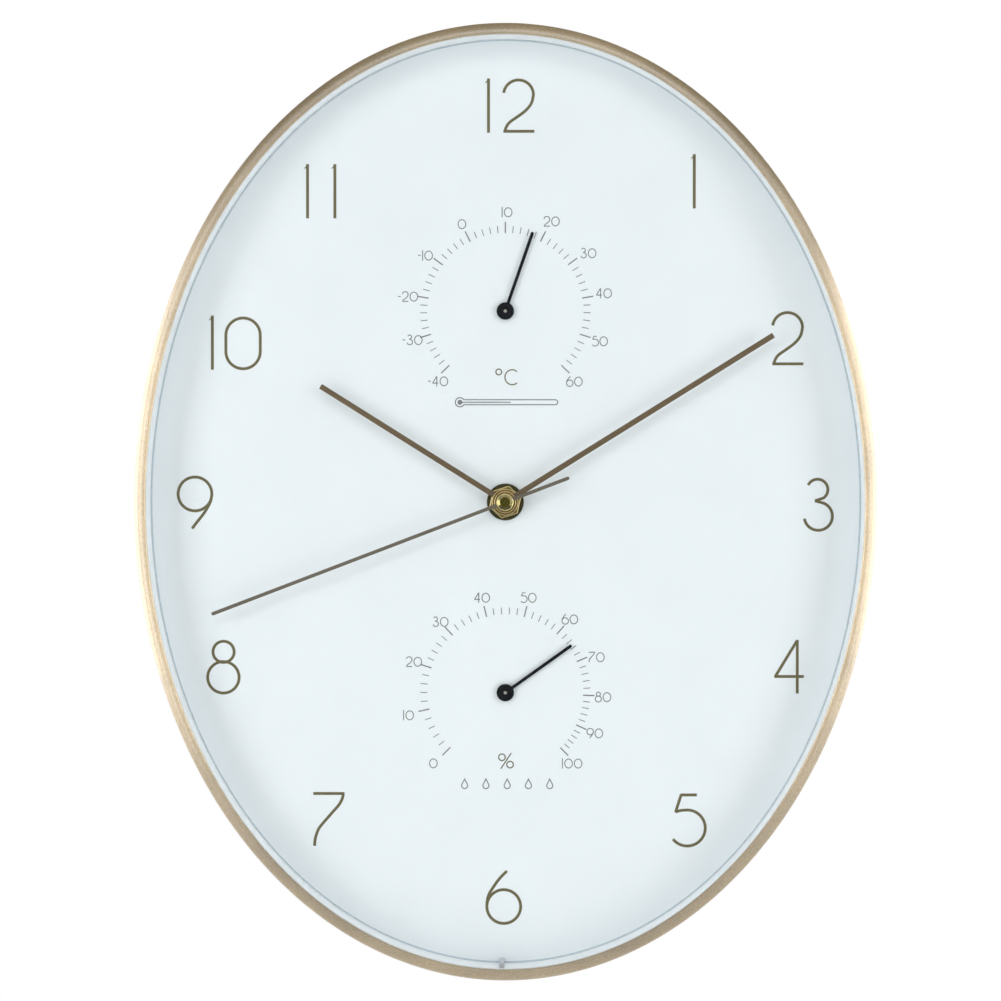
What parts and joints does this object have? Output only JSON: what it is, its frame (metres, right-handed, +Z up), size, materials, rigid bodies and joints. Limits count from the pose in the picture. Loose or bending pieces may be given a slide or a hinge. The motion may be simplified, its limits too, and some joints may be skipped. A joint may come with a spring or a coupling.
{
  "type": "wall clock",
  "caption": "Oval wall clock in a champagne metal frame: thin printed numerals, slim hands, a thermometer above the centre, a hygrometer below it, and a battery quartz movement.",
  "frame": {"origin": "on the wall face of the keyhole hanger plate, in the middle of its width and 3 mm above the top of its slot", "axes": "+X to the viewer's right, +Y into the wall, +Z up; the dial faces -Y"},
  "size_m": [0.279, 0.0422, 0.36],
  "materials": {
    "champagne_aluminium": "brushed, champagne anodised",
    "clear_glass": "clear, polished",
    "white_plastic": "satin white",
    "satin_dial": "very finely brushed across, pale silver",
    "black_moulding": "fine moulded texture",
    "spring_steel": "blued grey",
    "zinc_steel": "zinc plated",
    "brass": "turned",
    "polished_brass": "polished",
    "bronze_lacquer": "bronze lacquered",
    "grey_bronze_lacquer": "grey bronze lacquered",
    "black_lacquer": "black lacquered",
    "black_rubber": "matte",
    "dark_steel": "blackened",
    "movement_plastic": "matte",
    "battery_sleeve": "printed sleeve without words",
    "nickel": "nickel plated",
    "circuit_board": "green solder mask",
    "silicon_steel": "stamped",
    "copper_winding": "enamelled wire",
    "rotor_magnet": "sintered magnet with a moulded pinion",
    "acetal": "natural white",
    "bimetal_strip": "rolled strip",
    "humidity_strip": "coated strip"
  },
  "bodies": {
    "case": {"outer_frame": "champagne_aluminium", "glass_lens": "clear_glass", "spacer_ring": "white_plastic", "dial_plate": "satin_dial", "back_plate": "black_moulding", "retaining_clip_1": "spring_steel", "retaining_clip_2": "spring_steel", "retaining_clip_3": "spring_steel", "retaining_clip_4": "spring_steel", "clip_screw_1": "zinc_steel", "clip_screw_2": "zinc_steel", "clip_screw_3": "zinc_steel", "clip_screw_4": "zinc_steel", "hanger_plate": "zinc_steel", "hanger_screw_left": "zinc_steel", "hanger_screw_right": "zinc_steel", "threaded_bushing": "brass", "rubber_washer": "black_rubber", "dial_washer": "dark_steel", "hex_nut": "brass", "movement_case": "movement_plastic", "movement_cover": "movement_plastic", "battery": "battery_sleeve", "battery_contact_positive": "nickel", "battery_contact_negative": "nickel", "circuit_board": "circuit_board", "quartz_crystal": "nickel", "stator": "silicon_steel", "coil_core": "silicon_steel", "coil_bobbin": "black_moulding", "coil_winding": "copper_winding", "thermometer_spiral": "bimetal_strip", "thermometer_bridge": "zinc_steel", "thermometer_screw_1": "zinc_steel", "thermometer_screw_2": "zinc_steel", "hygrometer_spiral": "humidity_strip", "hygrometer_bridge": "zinc_steel", "hygrometer_screw_1": "zinc_steel", "hygrometer_screw_2": "zinc_steel"},
    "seconds": {"second_hand": "grey_bronze_lacquer", "second_hand_cap": "polished_brass", "second_wheel": "acetal"},
    "intermediate": {"intermediate_wheel": "acetal"},
    "stepping_rotor": {"rotor": "rotor_magnet"},
    "third": {"third_wheel": "acetal"},
    "clutch": {"centre_wheel": "acetal"},
    "minutes": {"minute_hand": "bronze_lacquer", "minute_pipe": "brass"},
    "reversing": {"reversing_wheel": "acetal", "setting_knob": "black_moulding"},
    "hours": {"hour_hand": "bronze_lacquer", "hour_wheel": "brass"},
    "thermometer": {"thermometer_pointer": "black_lacquer", "thermometer_arbor": "brass"},
    "hygrometer": {"hygrometer_pointer": "black_lacquer", "hygrometer_arbor": "brass"}
  },
  "joints": [
    {"name": "second_hand_spin", "type": "hinge", "parent": "case", "child": "seconds", "pos_m": [0, -0.0318, -0.159], "axis": [0, 1, 0], "continuous": true},
    {"name": "intermediate_spin", "type": "hinge", "parent": "case", "child": "intermediate", "pos_m": [0, -0.0089, -0.1482], "axis": [0, 1, 0], "continuous": true},
    {"name": "rotor_spin", "type": "hinge", "parent": "case", "child": "stepping_rotor", "pos_m": [-0.00761, -0.0089, -0.14465], "axis": [0, 1, 0], "continuous": true},
    {"name": "third_spin", "type": "hinge", "parent": "case", "child": "third", "pos_m": [0.01006, -0.0119, -0.15534], "axis": [0, 1, 0], "continuous": true},
    {"name": "centre_wheel_spin", "type": "hinge", "parent": "case", "child": "clutch", "pos_m": [0, -0.0139, -0.159], "axis": [0, 1, 0], "continuous": true},
    {"name": "minute_hand_spin", "type": "hinge", "parent": "case", "child": "minutes", "pos_m": [0, -0.0306, -0.159], "axis": [0, 1, 0], "continuous": true},
    {"name": "reversing_spin", "type": "hinge", "parent": "case", "child": "reversing", "pos_m": [-0.01116, -0.0158, -0.15998], "axis": [0, 1, 0], "continuous": true},
    {"name": "hour_hand_spin", "type": "hinge", "parent": "case", "child": "hours", "pos_m": [0, -0.029, -0.159], "axis": [0, 1, 0], "continuous": true},
    {"name": "thermometer_pointer_turn", "type": "hinge", "parent": "case", "child": "thermometer", "pos_m": [0, -0.0253, -0.0865], "axis": [0, 1, 0], "range_deg": [-153.2, 114.8], "stiffness_Nm_per_rad": 0.001},
    {"name": "hygrometer_pointer_turn", "type": "hinge", "parent": "case", "child": "hygrometer", "pos_m": [0, -0.0253, -0.2315], "axis": [0, 1, 0], "range_deg": [-189.4, 80.6], "stiffness_Nm_per_rad": 0.001}
  ],
  "couplings": [
    {"joint": "intermediate_spin", "follows": "second_hand_spin", "ratio": -5},
    {"joint": "rotor_spin", "follows": "second_hand_spin", "ratio": 30},
    {"joint": "third_spin", "follows": "second_hand_spin", "ratio": -0.13333},
    {"joint": "centre_wheel_spin", "follows": "second_hand_spin", "ratio": 0.016667},
    {"joint": "reversing_spin", "follows": "minute_hand_spin", "ratio": -0.33333},
    {"joint": "hour_hand_spin", "follows": "minute_hand_spin", "ratio": 0.083333}
  ]
}
